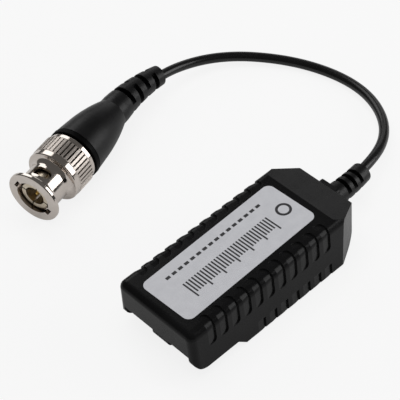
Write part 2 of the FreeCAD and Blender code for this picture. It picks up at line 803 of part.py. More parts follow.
def notch_cutters():
    """Every notch of both sides, spaced along the case."""
    cutters = []
    for pattern, first, count in ((grip_notch(), 0, notch_count),
                                  (foot_notch(), notch_count - foot_notch_count, foot_notch_count)):
        for index in range(first, first + count):
            one = pattern.copy()
            one.translate(Vector(float(s.notch_first) + index * float(s.notch_pitch), 0, 0))
            cutters.append(one)
            cutters.append(one.mirror(Vector(0, 0, 0), Vector(0, 1, 0)))
    return Part.makeCompound(cutters)


def make_top_shell():
    blank = make_shell_blank()
    notches = free_shape("grip_notches", notch_cutters())
    finish(cut("top_shell", blank, notches), "top_shell")


# The base cover, let in between the walls
def make_base_cover():
    body = new_body("base_cover")
    profile = blank_sketch(body, "cover_side", "XZ_Plane")
    near = near_x + s.cover_front
    lift = s.cover_lift
    bend_x = far_x - s.tail_round
    end = inner_far_x - s.cover_gap
    bend = s.tail_round - lift
    end_low = s.tail_round - root(bend * bend - (end - bend_x) * (end - bend_x))
    draw_outline(profile, [(near, raised_cover_bottom), (step_x, raised_cover_bottom), (deep_x, lift),
                           (bend_x, lift), (end, end_low), (end, end_low + s.cover_thickness),
                           (bend_x, cover_top), (deep_x + 0.5, cover_top), (step_x + 0.5, raised_cover_top),
                           (near, raised_cover_top)], {3: (bend, (bend_x, s.tail_round))})
    half = inner_half_width - s.cover_gap
    pad(body, "cover_plate", profile, 2 * half, both_ways=True)

    plan = blank_sketch(body, "cover_tapers", "XY_Plane")
    bend = taper_start - 0.6
    tail_inner = s.tail_half_width - s.wall - s.cover_gap
    for side in (-1, 1):
        outer = side * (half + 1)
        draw_outline(plan, [(bend, side * half), (inner_far_x, side * tail_inner),
                            (inner_far_x + 1, side * tail_inner), (inner_far_x + 1, outer), (bend, outer)])
    pocket(body, "cover_tapers_cut", plan, cover_top + 3, reverse=True)

    divider = blank_sketch(body, "divider_side", "XZ_Plane")
    front = near_x + s.divider_front
    rise = s.mouth_height - s.cover_gap
    draw_outline(divider, [(front + s.divider_length, raised_cover_bottom), (front + s.divider_length, rise),
                           (front, rise), (front, raised_cover_bottom + s.divider_round),
                           (front + s.divider_round, raised_cover_bottom)],
                 {3: (s.divider_round, (front + s.divider_round, raised_cover_bottom + s.divider_round))})
    pad(body, "divider", divider, 2 * s.divider_half_width, both_ways=True)

    posts = blank_sketch(body, "cover_post_plan", "XY_Plane", cover_top - 0.3)
    for side in (-1, 1):
        draw_circle(posts, board_end - s.post_inset, side * (s.board_half_width - s.post_side_inset),
                    s.post_radius)
    pad(body, "cover_posts", posts, s.board_bottom - cover_top + 0.3)

    holes = blank_sketch(body, "wire_hole_plan", "XY_Plane", raised_cover_top + 0.5)
    for side in (-1, 1):
        draw_circle(holes, wire_x, side * s.terminal_pitch / 2, s.wire_hole_radius)
    pocket(body, "wire_holes", holes, s.cover_thickness + 1)

    seat = s.cover_lift + s.cover_screw_recess + s.cover_screw_head_height
    for name, radius, top in (("screw_holes", s.cover_screw_radius + 0.15, cover_top + 1),
                              ("screw_seats", s.cover_screw_head + 0.2, seat)):
        plan = blank_sketch(body, name + "_plan", "XY_Plane", -1)
        draw_circle(plan, boss_far_x, s.boss_y, radius)
        draw_circle(plan, boss_near_x, -s.boss_y, radius)
        pocket(body, name, plan, top + 1, reverse=True)
    finish(body, "base_cover")


def make_cover_screws():
    """Two tapping screws that hold the cover to the shell's bosses."""
    screws = []
    low = s.cover_lift + s.cover_screw_recess
    seat = low + s.cover_screw_head_height
    for number, (along, across) in enumerate(((boss_far_x, s.boss_y), (boss_near_x, -s.boss_y))):
        head = cylinder(f"cover_screw_head_{number}", s.cover_screw_head, seat - low, (along, across, low))
        shank = cylinder(f"cover_screw_shank_{number}", s.cover_screw_radius - 0.05,
                         s.cover_screw_length - 1.0, (along, across, low))
        slot = box(f"cover_screw_slot_{number}", (along - 1.3, across - 0.25, low - 0.5),
                   (along + 1.3, across + 0.25, low + 0.3))
        whole = fuse(f"cover_screw_{number}", [head, shank])
        screws.append(cut(f"cover_screw_cut_{number}", whole, slot))
    finish(gather("cover_screws", screws), "cover_screws")


# The printed label on the top
def make_label():
    body = new_body("label")
    sketch = blank_sketch(body, "label_outline", "XY_Plane")
    half_length = s.label_length / 2
    half_width = s.label_width / 2
    corner = s.label_corner
    inset = (half_length - corner, half_width - corner)
    corners = [(-inset[0], -half_width), (inset[0], -half_width), (half_length, -inset[1]),
               (half_length, inset[1]), (inset[0], half_width), (-inset[0], half_width),
               (-half_length, inset[1]), (-half_length, -inset[1])]
    arcs = {1: (corner, (inset[0], -inset[1])), 3: (corner, inset), 5: (corner, (-inset[0], inset[1])),
            7: (corner, (-inset[0], -inset[1]))}
    draw_outline(sketch, corners, arcs)
    pad(body, "label_film", sketch, s.label_thickness)
    put(body, s.label_x, 0, s.case_height, axis=(0, 0, 1), degrees=s.label_turn)
    bind(body, "Placement.Rotation.Angle", s.label_turn)
    finish(body, "label")


# The board and what stands on it
clamp_x = block_near_x + s.clamp_inset
clamp_lead_x = clamp_x + s.clamp_length - s.clamp_wall / 2
wire_x = clamp_x + s.clamp_length / 2
lead_places = []


def lead(name, x, y, low):
    """A lead from a component up through the board."""
    lead_places.append((x, y))
    return cylinder(name, s.lead_radius, board_top + s.lead_stand - low, (x, y, low))


def make_terminals():
    block = box("block_body", (block_near_x, -s.terminal_pitch, s.block_base),
                (block_near_x + s.block_length, s.terminal_pitch, s.board_bottom))
    tools = []
    for number, side in enumerate((-1, 1)):
        pole = side * s.terminal_pitch / 2
        gap = s.clamp_gap
        roof = s.block_base + s.clamp_height + 2 * gap
        half = s.clamp_width / 2 + gap
        tools.append(box(f"clamp_pocket_{number}", (clamp_x - gap, pole - half, s.block_base - 1),
                         (clamp_x + s.clamp_length + gap, pole + half, roof)))
        tools.append(cylinder(f"screw_well_{number}", s.terminal_screw_head + gap, clamp_x - block_near_x + 2,
                              (block_near_x - 1, pole, s.terminal_screw_z), along="x"))
        tools.append(cylinder(f"clamp_lead_way_{number}", s.lead_radius + s.lead_gap,
                              s.board_bottom - roof + 2, (clamp_lead_x, pole, roof - 1)))
        finish_clamp(number, side, pole)
    finish(cut("terminal_block", block, fuse("block_cutters", tools)), "terminal_block")


def finish_clamp(number, side, pole):
    """The sheet-metal clamp of one pole with its solder lead, and its screw."""
    word = "right" if side < 0 else "left"
    low = s.block_base + s.clamp_gap
    half = s.clamp_width / 2
    outer = box(f"clamp_outer_{number}", (clamp_x, pole - half, low),
                (clamp_x + s.clamp_length, pole + half, low + s.clamp_height))
    wall = s.clamp_wall
    inner = box(f"clamp_inner_{number}", (clamp_x + wall, pole - half + wall, low - 1),
                (clamp_x + s.clamp_length - wall, pole + half - wall, low + s.clamp_height + 1))
    thread = cylinder(f"clamp_thread_{number}", s.terminal_screw_radius + 0.02, 2,
                      (clamp_x - 0.5, pole, s.terminal_screw_z), along="x")
    sheet_metal = cut(f"clamp_sheet_{number}", outer, fuse(f"clamp_cutters_{number}", [inner, thread]))
    tail = lead(f"clamp_lead_{number}", clamp_lead_x, pole, low + s.clamp_height - 0.5)
    finish(fuse(f"wire_clamp_{word}", [sheet_metal, tail]), f"wire_clamp_{word}")
    head_x = block_near_x + 0.6
    head = cylinder(f"terminal_head_{number}", s.terminal_screw_head, 1.3,
                    (head_x, pole, s.terminal_screw_z), along="x")
    shank = cylinder(f"terminal_shank_{number}", s.terminal_screw_radius, clamp_x + 1.4 - head_x,
                     (head_x, pole, s.terminal_screw_z), along="x")
    slot = box(f"terminal_slot_{number}", (head_x - 0.5, pole - 1.5, s.terminal_screw_z - 0.25),
               (head_x + 0.5, pole + 1.5, s.terminal_screw_z + 0.25))
    whole = fuse(f"terminal_screw_body_{number}", [head, shank])
    finish(cut(f"terminal_screw_{word}", whole, slot), f"terminal_screw_{word}")


def make_transformer():
    """A ring core with two windings, hung below the board."""
    outside = cylinder("core_outside", s.core_outer, s.core_height, (s.core_x, 0, s.core_bottom))
    hole = cylinder("core_hole", s.core_inner, s.core_height + 2, (s.core_x, 0, s.core_bottom - 1))
    finish(cut("ring_core", outside, hole), "ring_core")
    wire = float(s.winding_wire)
    reach = (float(s.core_outer) - float(s.core_inner)) / 2 + wire + 0.08
    rise = float(s.core_height) / 2 + wire + 0.08
    middle_radius = (float(s.core_outer) + float(s.core_inner)) / 2
    corner = 0.5
    flat = reach - corner
    upright = rise - corner
    points = [(-flat, -rise), (flat, -rise), (reach, -upright), (reach, upright),
              (flat, rise), (-flat, rise), (-reach, upright), (-reach, -upright)]
    places = [Vector(x, 0, z) for x, z in points]
    edges = []
    for index in range(0, 8, 2):
        edges.append(Part.LineSegment(places[index], places[index + 1]).toShape())
        start, stop = places[index + 1], places[(index + 2) % 8]
        centre = Vector(math.copysign(flat, start.x + stop.x), 0, math.copysign(upright, start.z + stop.z))
        bulge = ((start + stop) / 2 - centre).normalize() * corner + centre
        edges.append(Part.Arc(start, bulge, stop).toShape())
    path = Part.Wire(edges)
    ring = Part.Wire([Part.Circle(places[0], Vector(1, 0, 0), wire).toShape()])
    turn = path.makePipeShell([ring], True, False)
    centre = Vector(float(s.core_x), 0, float(s.core_bottom) + float(s.core_height) / 2)
    for name, start_angle in (("primary_winding", 40.0), ("secondary_winding", 220.0)):
        turns = []
        for index in range(5):
            angle = start_angle + index * 24.0
            one = turn.copy()
            one.translate(Vector(middle_radius, 0, 0))
            one.rotate(Vector(0, 0, 0), Vector(0, 0, 1), angle)
            one.translate(centre)
            turns.append(one)
        finish(free_shape(name, Part.makeCompound(turns)), name)


def make_surge_parts():
    """A gas arrester across the pair, a fuse disc in each leg, a capacitor and a resistor."""
    radius = s.arrester_radius
    height = s.board_bottom - radius - 0.2
    barrel = cylinder("arrester_barrel", radius, s.arrester_length,
                      (arrester_x, -s.arrester_length / 2, height), along="y")
    reach = s.arrester_length / 2 - 0.8
    legs = [lead(f"arrester_lead_{index}", arrester_x, side * reach, height + radius - 0.6)
            for index, side in enumerate((-1, 1))]
    finish(fuse("surge_arrester", [barrel] + legs), "surge_arrester")
    fuse_x = arrester_x + 0.3
    for word, side in (("right", -1), ("left", 1)):
        across = side * s.fuse_y
        disc = cylinder(f"fuse_disc_{word}", s.fuse_radius, s.fuse_thickness,
                        (fuse_x, across, s.board_bottom - s.fuse_radius - 0.3), along="x")
        legs = [lead(f"fuse_lead_{word}_{index}", fuse_x + s.fuse_thickness / 2, across + offset,
                     s.board_bottom - 1.6)
                for index, offset in enumerate((-1.3, 1.3))]
        finish(fuse(f"line_fuse_{word}", [disc] + legs), f"line_fuse_{word}")
    filter_x = s.core_x + s.filter_x
    across = as_size(-5.4)
    disc = cylinder("capacitor_disc", s.capacitor_radius, s.capacitor_thickness,
                    (filter_x - s.capacitor_thickness / 2, across, s.board_bottom - s.capacitor_radius - 0.4),
                    along="x")
    legs = [lead(f"capacitor_lead_{index}", filter_x, across + offset, s.board_bottom - 1.6)
            for index, offset in enumerate((-1.1, 1.1))]
    finish(fuse("coupling_capacitor", [disc] + legs), "coupling_capacitor")
    across = as_size(2.9)
    barrel = cylinder("resistor_barrel", s.resistor_radius, s.resistor_length,
                      (filter_x, across, s.board_bottom - s.resistor_radius - 0.3), along="y")
    legs = [lead(f"resistor_lead_{index}", filter_x, across + offset, s.board_bottom - 1.6)
            for index, offset in enumerate((as_size(0.4), s.resistor_length - 0.4))]
    finish(fuse("line_resistor", [barrel] + legs), "line_resistor")


def make_board():
    """The board, with a hole for each lead and a bay for the middle boss. Made after its components."""
    sheet_body = box("board_sheet", (board_start, -s.board_half_width, s.board_bottom),
                     (board_end, s.board_half_width, board_top))
    tools = [cylinder(f"board_hole_{number}", s.lead_radius + s.lead_gap, s.board_thickness + 2,
                      (x, y, s.board_bottom - 1))
             for number, (x, y) in enumerate(lead_places)]
    tools.append(cylinder("board_boss_bay", s.boss_radius + 0.4, s.board_thickness + 2,
                          (boss_near_x, -s.boss_y, s.board_bottom - 1)))
    finish(cut("circuit_board", sheet_body, gather("board_cutters", tools)), "circuit_board")


# The cable, its gland and its two inner tails
def make_cable():
    tube = free_shape("coax_cable", swept_tube(cable_path, s.cable_radius))
    finish(tube, "coax_cable")
    section = math.pi * float(s.cable_radius) ** 2
    print("cable bend radii", [round(radius, 1) for radius in cable_radii])
    share = tube.Shape.Volume / (section * cable_path.Length)
    print("cable volume over section times length", round(share, 4), "length", round(cable_path.Length, 1))


def make_tail(name, side):
    """A stripped end of the cable, bent up to a pad of the board."""
    radius = float(s.tail_radius)
    across = float(s.gland_y) + side * (radius + 0.15)
    pad_x = float(board_end) - radius
    start = Vector(float(cable_points[0].x), across, float(s.gland_z))
    corner = Vector((start.x + pad_x) / 2 - 1.1, across, float(s.gland_z))
    stop = Vector(pad_x, across, float(s.board_bottom) - radius)
    path, radii = cable_wire([start, corner, stop])
    finish(free_shape(name, swept_tube(path, radius)), name)


def make_gland():
    y = s.gland_y
    z = s.gland_z
    inner_face = inner_far_x - 0.1
    inner = box("gland_inner_flange", (inner_face - 1.2, y - 3.6, z - 4.2), (inner_face, y + 3.6, z + 3.6))
    neck = cylinder("gland_neck_bar", s.gland_neck, s.wall + 0.3, (inner_far_x - 0.2, y, z), along="x")
    outer_face = far_x + s.gland_gap
    half = s.gland_flange_width / 2
    middle = z + 0.4
    flange = box("gland_outer_flange", (outer_face, y - half, middle - s.gland_flange_height / 2),
                 (outer_face + s.gland_flange_thickness, y + half, middle + s.gland_flange_height / 2))
    edges = [(number + 1, 1.0, 1.0) for number, edge in enumerate(flange.Shape.Edges)
             if abs(edge.tangentAt(edge.FirstParameter).x) > 0.9]
    rounded = doc.addObject("Part::Fillet", "gland_flange_rounded")
    rounded.Base = flange
    rounded.Edges = edges
    start = float(far_x) + float(s.gland_flange_thickness) - float(cable_points[0].x)
    sleeve = free_shape("gland_sleeve", bent_relief(start, float(s.gland_length), float(s.gland_root_radius),
                                                    float(s.gland_tip_radius), False))
    slots = []
    for index in range(3):
        distance = start + float(s.gland_slot_first) + index * float(s.gland_slot_pitch)
        for spine in (0.0, 180.0):
            slots.append(relief_slot(distance, float(s.gland_slot_width), 4.0, spine,
                                     float(s.cable_radius) - 0.6, False))
    solid = fuse("gland_solid", [inner, neck, rounded, sleeve])
    carved = cut("gland_carved", solid, free_shape("gland_slots", Part.makeCompound(slots)))
    bore = free_shape("gland_bore", swept_tube(cable_path, float(s.cable_radius) + float(s.cable_gap)))
    finish(cut("cable_gland", carved, bore), "cable_gland")


# The bayonet plug, whose pieces are turned about their own X axis and then laid on the floor
def lay_on_plug_axis(thing):
    put(thing, s.plug_x, s.plug_y, s.nut_radius, axis=(0, 0, 1), degrees=s.plug_heading)
    bind(thing, "Placement.Rotation.Angle", s.plug_heading)
    return thing


def make_coupling_nut():
    body = new_body("nut_blank")
    r = s.nut_radius
    flange = s.nut_flange_radius
    neck = s.nut_neck_radius
    edge = s.nut_edge
    knurl = s.nut_knurl_start
    knurl_end = knurl + s.nut_knurl_length
    end = s.nut_length
    seat = s.nut_seat - s.running_gap
    washer_back = barrel_flange_back + s.spring_height + s.washer_thickness
    ring_back = washer_back + s.ring_thickness + 0.1
    shoulder = s.nut_shoulder - edge
    crest = r - 0.1
    corners = [(0, s.nut_bore), (0, flange - edge), (edge, flange), (s.nut_flange_length, flange),
               (s.nut_neck_start, neck), (s.nut_neck_end, neck), (shoulder, crest - edge),
               (s.nut_shoulder, crest), (knurl - 0.1, crest), (knurl, r), (knurl_end, r),
               (knurl_end + 0.15, s.nut_rim_radius - 0.25), (knurl_end + 0.45, s.nut_rim_radius),
               (end - edge, s.nut_rim_radius), (end, s.nut_rim_radius - edge), (end, s.nut_cavity),
               (ring_back, s.nut_cavity), (ring_back, s.ring_groove), (washer_back, s.ring_groove),
               (washer_back, s.nut_cavity), (seat, s.nut_cavity), (seat, s.nut_bore)]
    front_sweep = hollow_radius(s.nut_neck_start - s.nut_flange_length, flange - neck)
    rear_sweep = hollow_radius(shoulder - s.nut_neck_end, crest - edge - neck)
    arcs = {1: (edge, (edge, flange - edge)),
            3: (front_sweep, (s.nut_neck_start, neck + front_sweep)),
            5: (rear_sweep, (s.nut_neck_end, neck + rear_sweep)),
            6: (edge, (s.nut_shoulder, crest - edge)),
            13: (edge, (end - edge, s.nut_rim_radius - edge))}
    revolve(body, "nut_turned", corners, arcs)

    groove = blank_sketch(body, "knurl_groove", "YZ_Plane", knurl + 0.1)
    half = r * math.tan(math.pi / s.nut_knurl_count.value) * 0.78
    draw_outline(groove, [(0, r - s.nut_knurl_depth), (half, r + 0.4), (-half, r + 0.4)])
    first = pocket(body, "knurl_cut", groove, s.nut_knurl_length - 0.2, reverse=True)
    pattern = body.newObject("PartDesign::PolarPattern", "knurl")
    pattern.Originals = [first]
    pattern.Axis = (origin_feature(body, "X_Axis"), [""])
    pattern.Angle = 360.0
    pattern.Occurrences = int(s.nut_knurl_count.value)
    body.Tip = pattern
    doc.recompute()

    slots = free_shape("bayonet_slots", bayonet_cutters())
    nut = cut("coupling_nut", body, slots)
    finish(lay_on_plug_axis(nut), "coupling_nut")


def hollow_radius(run, rise):
    """Radius of the hollow that leaves a straight neck tangentially and reaches rise after run."""
    return (run * run + rise * rise) / (rise * 2)


def bayonet_cutters():
    """Two lug slots: a straight entry, a ramp that climbs round the bore, and a window at its end."""
    width = float(s.bayonet_slot)
    outer = float(s.bayonet_depth)
    inner = float(s.nut_bore) - 0.6
    entry = float(s.bayonet_entry_length)
    turn = float(s.bayonet_turn)
    rise = float(s.bayonet_rise)
    entry_slot = Part.makeBox(entry + 1, width, outer + 0.05 - inner)
    entry_slot.translate(Vector(-1, -width / 2, inner))
    mouth = Part.makeBox(2, width + 0.2, float(s.bayonet_mouth_depth) - inner)
    mouth.translate(Vector(-1, -width / 2 - 0.1, inner))
    steps = 10
    pieces = []
    for index in range(steps + 1):
        share = index / steps
        one = Part.makeCylinder(width / 2, outer - inner, Vector(0, 0, inner), Vector(0, 0, 1))
        one.translate(Vector(entry - 0.6 + rise * share, 0, 0))
        one.rotate(Vector(0, 0, 0), Vector(1, 0, 0), turn * share)
        pieces.append(one)
    window_length = float(s.window_length)
    window_width = float(s.window_width)
    half_round = window_length / 2
    window = Part.makeBox(window_length, window_width - window_length, 4)
    window.translate(Vector(-half_round, -(window_width - window_length) / 2, inner))
    offset = (window_width - window_length) / 2
    ends = [Part.makeCylinder(half_round, 4, Vector(0, side * offset, inner), Vector(0, 0, 1))
            for side in (-1, 1)]
    window = window.fuse(ends)
    window.translate(Vector(entry - 0.6 + rise, 0, 0))
    window.rotate(Vector(0, 0, 0), Vector(1, 0, 0), turn)
    one_side = entry_slot.fuse(pieces + [mouth, window]).removeSplitter()
    cutters = []
    for half_turn in (0.0, 180.0):
        one = one_side.copy()
        one.rotate(Vector(0, 0, 0), Vector(1, 0, 0), float(s.bayonet_entry_angle) - 90.0 + half_turn)
        cutters.append(one)
    return Part.makeCompound(cutters)


barrel_flange_back = s.nut_seat + s.barrel_flange_length


def make_barrel():
    """The plug's own barrel: slit contact sleeve, shoulder, flange, spigot and crimp neck in one piece."""
    body = new_body("barrel_blank")
    front = s.sleeve_front
    corners = [(front, s.sleeve_bore), (front, s.sleeve_radius - 0.2), (front + 0.3, s.sleeve_radius),
               (s.barrel_seat, s.sleeve_radius), (s.barrel_seat, s.nut_bore - s.running_gap),
               (s.nut_seat, s.nut_bore - s.running_gap), (s.nut_seat, s.nut_cavity - s.running_gap),
               (barrel_flange_back, s.nut_cavity - s.running_gap), (barrel_flange_back, s.barrel_spigot),
               (s.barrel_end, s.barrel_spigot), (s.barrel_end, s.crimp_neck),
               (s.crimp_neck_end, s.crimp_neck),
               (s.crimp_neck_end, 0.9), (s.insulator_end, 0.9), (s.insulator_end, s.insulator_radius),
               (s.insulator_front, s.insulator_radius), (s.insulator_front, s.sleeve_bore)]
    revolve(body, "barrel_turned", corners)
    slits = []
    for index in range(2):
        slit = Part.makeBox(float(s.sleeve_slit_length) + 1, 12, float(s.sleeve_slit))
        slit.translate(Vector(float(front) - 1, -6, -float(s.sleeve_slit) / 2))
        slit.rotate(Vector(0, 0, 0), Vector(1, 0, 0), 20.0 + 90.0 * index)
        slits.append(slit)
    barrel = cut("plug_barrel", body, free_shape("sleeve_slits", slits[0].fuse(slits[1])))
    finish(lay_on_plug_axis(barrel), "plug_barrel")


def make_inner_contacts():
    body = new_body("insulator")
    gap = as_size(0.02)
    bore = s.pin_radius + gap
    outside = s.insulator_radius - gap
    rear = s.insulator_end - gap
    revolve(body, "insulator_turned",
            [(s.insulator_front, bore), (s.insulator_front, outside), (rear, outside), (rear, bore)])
    finish(lay_on_plug_axis(body), "insulator")
    pin = new_body("centre_pin")
    revolve(pin, "pin_turned", [(s.pin_front, 0), (s.pin_front, s.pin_tip), (s.pin_front + 0.9, s.pin_radius),
                                (s.pin_end, s.pin_radius), (s.pin_end, 0)])
    finish(lay_on_plug_axis(pin), "centre_pin")


def make_plug_rings():
    """The sealing ring, bowed spring washer, thrust washer, retaining ring and crimp ferrule."""
    gasket = new_body("gasket")
    gap = s.running_gap
    gasket_front = s.barrel_seat - s.gasket_length
    gasket_inner = s.sleeve_radius + gap
    gasket_outer = s.nut_bore - 0.12
    revolve(gasket, "gasket_moulded", [(gasket_front, gasket_inner), (gasket_front, gasket_outer),
                                       (s.barrel_seat, gasket_outer), (s.barrel_seat, gasket_inner)])
    finish(lay_on_plug_axis(gasket), "gasket")

    sheet_metal = float(s.spring_sheet)
    bow = float(s.spring_bow)
    start = float(barrel_flange_back)
    inside = float(s.barrel_spigot) + 0.25
    outside = float(s.nut_cavity) - 0.25
    deep = outside
    ring = Part.makeCylinder(outside, 2 * deep, Vector(start - deep, 0, 0), Vector(1, 0, 0))
    ring = ring.cut(Part.makeCylinder(inside, 4 * deep, Vector(start - 2 * deep, 0, 0), Vector(1, 0, 0)))
    crown = start + float(s.spring_height) - 0.02
    wide = 2 * outside
    curve = Part.makeCylinder(bow, 2 * wide, Vector(crown - bow, -wide, 0), Vector(0, 1, 0))
    inner_bow = bow - sheet_metal
    hollow = Part.makeCylinder(inner_bow, 4 * wide, Vector(crown - bow, -2 * wide, 0), Vector(0, 1, 0))
    bowed = ring.common(curve.cut(hollow))
    finish(lay_on_plug_axis(free_shape("spring_washer", bowed)), "spring_washer")

    washer = new_body("thrust_washer")
    front = barrel_flange_back + s.spring_height
    revolve(washer, "washer_stamped", [(front, s.barrel_spigot + 0.1), (front, s.nut_cavity - s.running_gap),
                                       (front + s.washer_thickness, s.nut_cavity - s.running_gap),
                                       (front + s.washer_thickness, s.barrel_spigot + 0.1)])
    finish(lay_on_plug_axis(washer), "thrust_washer")

    groove_front = front + s.washer_thickness + 0.05
    ring_body = new_body("retaining_ring_blank")
    groove_back = groove_front + s.ring_thickness
    ring_inner = s.barrel_spigot + 0.8
    ring_outer = s.ring_groove - 0.05
    revolve(ring_body, "ring_stamped", [(groove_front, ring_inner), (groove_front, ring_outer),
                                        (groove_back, ring_outer), (groove_back, ring_inner)])
    half = s.ring_opening / 2
    opening = box("ring_opening_tool", (groove_front - 1, -half, -s.nut_radius),
                  (groove_front + s.ring_thickness + 1, half, 0))
    finish(lay_on_plug_axis(cut("retaining_ring", ring_body, opening)), "retaining_ring")

    ferrule = new_body("crimp_ferrule")
    bore = s.crimp_neck + 0.05
    outside = bore + s.ferrule_wall
    ferrule_front = s.barrel_end + 0.1
    revolve(ferrule, "ferrule_drawn", [(ferrule_front, bore), (ferrule_front, outside),
                                       (s.ferrule_end, outside), (s.ferrule_end, bore)])
    finish(lay_on_plug_axis(ferrule), "crimp_ferrule")


def make_boot():
    """The moulded boot: a lip, a grip, a rounded cone, then slotted rings that follow the cable's bend."""
    body = new_body("boot_cone")
    gap = s.cable_gap
    cable_bore = s.cable_radius + gap
    ferrule_bore = s.crimp_neck + gap + s.ferrule_wall + gap
    spigot_bore = s.barrel_spigot + 0.02
    groove = s.boot_groove
    lip_edge = 0.3
    shoulder = (s.boot_shoulder_end, s.boot_shoulder_radius)
    waist = (s.boot_cone_end, s.boot_waist_radius)
    run = float(waist[0] - shoulder[0])
    fall = float(shoulder[1] - waist[1])
    bulge = float(s.boot_cone_bulge)
    chord = math.hypot(run, fall)
    sweep = chord * chord / (8 * bulge) + bulge / 2
    towards = (sweep - bulge) / chord
    middle = (float(shoulder[0]) + run / 2 - fall * towards, float(waist[1]) + fall / 2 - run * towards)
    corners = [(s.boot_front, spigot_bore), (s.boot_front, s.boot_band_radius - lip_edge),
               (s.boot_front + lip_edge, s.boot_band_radius), (s.boot_band_end, s.boot_band_radius),
               (s.boot_band_end, s.boot_radius - groove), (s.boot_band_end + groove, s.boot_radius - groove),
               (s.boot_band_end + groove, s.boot_radius), shoulder, waist,
               (s.boot_relief_start, s.boot_waist_radius), (s.boot_relief_start, cable_bore),
               (s.ferrule_end + gap, cable_bore), (s.ferrule_end + gap, ferrule_bore),
               (s.barrel_end + gap, ferrule_bore), (s.barrel_end + gap, spigot_bore)]
    arcs = {1: (lip_edge, (s.boot_front + lip_edge, s.boot_band_radius - lip_edge)), 7: (sweep, middle)}
    revolve(body, "boot_moulded", corners, arcs)
    lay_on_plug_axis(body)
    start = float(s.boot_relief_start) - float(s.crimp_neck_end)
    relief = bent_relief(start, float(s.boot_relief_length), float(s.boot_waist_radius),
                         float(s.boot_tip_radius), True)
    sleeve = free_shape("boot_sleeve", relief)
    slots = []
    for index in range(4):
        distance = start + float(s.boot_slot_first) + index * float(s.boot_slot_pitch)
        for spine in (0.0, 180.0):
            quarter = 90.0 if index % 2 else 0.0
            slots.append(relief_slot(distance, float(s.boot_slot_width), 5.5, spine + quarter,
                                     float(s.cable_radius) - 0.4, True))
    bore = free_shape("boot_bore", swept_tube(cable_path, float(cable_bore)))
    carved = cut("boot_carved", sleeve, free_shape("boot_slots", Part.makeCompound(slots)))
    hollow = cut("boot_hollow", carved, bore)
    finish(fuse("plug_boot", [body, hollow]), "plug_boot")


make_top_shell()
make_base_cover()
make_cover_screws()
make_label()
make_terminals()
make_transformer()
make_surge_parts()
make_board()
make_cable()
make_tail("coax_core_tail", 1)
make_tail("coax_braid_tail", -1)
make_gland()
make_coupling_nut()
make_barrel()
make_inner_contacts()
make_plug_rings()
make_boot()
doc.recompute()

for thing in doc.Objects:
    if "Invalid" in thing.State or "Error" in thing.State:
        raise ValueError(f"{thing.Label}: {thing.State}")

os.makedirs("parts", exist_ok=True)
for name, thing in finished:
    shape = thing.Shape
    if shape.isNull() or not shape.isValid() or shape.Volume <= 0:
        raise ValueError(f"{name}: the shape isn't sound")
    print(name, "solids", len(shape.Solids), "volume", round(shape.Volume, 2))
    shape.exportStep(f"parts/{name}.step")
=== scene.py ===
import math

import bmesh
import bpy
from mathutils import Matrix, Vector


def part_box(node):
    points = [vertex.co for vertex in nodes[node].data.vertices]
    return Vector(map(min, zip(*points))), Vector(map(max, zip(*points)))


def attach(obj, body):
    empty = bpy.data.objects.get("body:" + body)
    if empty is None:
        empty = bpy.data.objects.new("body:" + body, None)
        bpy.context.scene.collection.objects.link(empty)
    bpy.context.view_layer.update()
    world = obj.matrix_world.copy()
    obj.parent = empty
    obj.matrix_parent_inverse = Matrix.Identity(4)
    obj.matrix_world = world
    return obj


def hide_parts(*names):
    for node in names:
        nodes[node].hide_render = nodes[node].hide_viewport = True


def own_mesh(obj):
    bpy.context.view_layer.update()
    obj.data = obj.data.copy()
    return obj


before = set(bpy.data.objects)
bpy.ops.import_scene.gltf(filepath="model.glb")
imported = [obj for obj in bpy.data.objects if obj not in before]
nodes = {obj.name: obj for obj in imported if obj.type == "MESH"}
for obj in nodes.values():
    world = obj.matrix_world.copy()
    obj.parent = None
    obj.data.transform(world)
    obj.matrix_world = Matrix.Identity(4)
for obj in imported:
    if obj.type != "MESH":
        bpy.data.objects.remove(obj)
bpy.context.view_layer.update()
scene = bpy.context.scene
scene.view_settings.view_transform = "Standard"
scene.view_settings.look = "None"

# Lengths are in metres, except on the plug. Its axis runs from its front face back through
# the boot, and places on it are in millimetres from that face
HEADING = math.radians(14.06)
PLUG = Vector((math.cos(HEADING), math.sin(HEADING), 0.0))
SIDE = Vector((-PLUG.y, PLUG.x, 0.0))
FRONT = Vector((-0.02193, 0.05586, 0.0079))
KNURL_FRONT = 10.4
KNURL_BACK = 16.0
LIP_BACK = 19.6
CABLE_IN_RELIEF = 50.0
CABLE_IN_CRIMP = 25.0

# The bowed spring washer, in millimetres, and the share of its height left when it is flat
SPRING_FRONT = 12.3
SPRING_HEIGHT = 0.97
SPRING_SHEET = 0.22
SPRING_INNER = 4.65
SPRING_OUTER = 6.0

# The cable: its radius, and the points of its route outside the plug
CABLE_RADIUS = 0.0014
CABLE_POINTS = (
    (0.0234, -0.0003, 0.0073),
    (0.0434, -0.0003, 0.0073),
    (0.0619, 0.0076, 0.0038),
    (0.0716, 0.0261, 0.0014),
    (0.0671, 0.0478, 0.0014),
    (0.0513, 0.0662, 0.0030),
)

# The label's print: x and y run along and across the label from its middle
LABEL_TURN = math.radians(1.6)
LABEL_MIDDLE = Vector((-0.0042, 0.0, 0.01612))
INK_HEIGHT = 0.000012
TICKS = 31
TICK_START = -0.0150
TICK_PITCH = 0.00094
TICK_WIDTH = 0.00046
TICK_HEIGHT = 0.0042
TALL_TICK_HEIGHT = 0.0054
TALL_TICK_EVERY = 5
TICKS_ACROSS = -0.0018
BLOCKS = 16
BLOCK_START = -0.0160
BLOCK_PITCH = 0.00205
BLOCK_WIDTH = 0.0013
BLOCK_HEIGHT = 0.00085
BLOCKS_ACROSS = 0.0049
RING_PLACE = (0.0182, -0.0006)
RING_OUTER = 0.0021
RING_INNER = 0.0014

